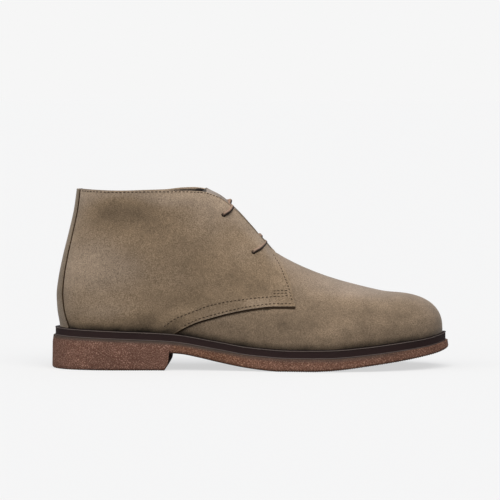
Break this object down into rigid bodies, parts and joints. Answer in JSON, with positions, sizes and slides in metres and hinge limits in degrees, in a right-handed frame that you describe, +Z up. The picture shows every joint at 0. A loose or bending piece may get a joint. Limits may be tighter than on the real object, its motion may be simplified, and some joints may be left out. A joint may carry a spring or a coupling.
{
  "type": "chukka boot",
  "caption": "Ankle-high suede lace-up chukka boot for the right foot, with a thin dark midsole and a moulded rubber outsole with a low heel.",
  "frame": {"origin": "on the floor, under the middle of the whole boot's length and width", "axes": "+X from the heel to the toe, +Y towards the inner (medial) side of the foot, +Z up from the floor"},
  "size_m": [0.3003, 0.1072, 0.1383],
  "materials": {
    "suede_upper": "napped suede",
    "suede_tongue": "napped suede",
    "midsole_rubber": "satin dark edge",
    "outsole_rubber": "matt, fine crinkled grain",
    "lining_leather": "smooth lining leather",
    "lace_cotton": "round waxed cotton cord"
  },
  "bodies": {
    "root": {"outsole": "outsole_rubber", "midsole": "midsole_rubber", "upper": "suede_upper", "tongue": "suede_tongue", "insole": "lining_leather", "lace_bar_top": "lace_cotton", "lace_bar_low": "lace_cotton"}
  },
  "joints": []
}
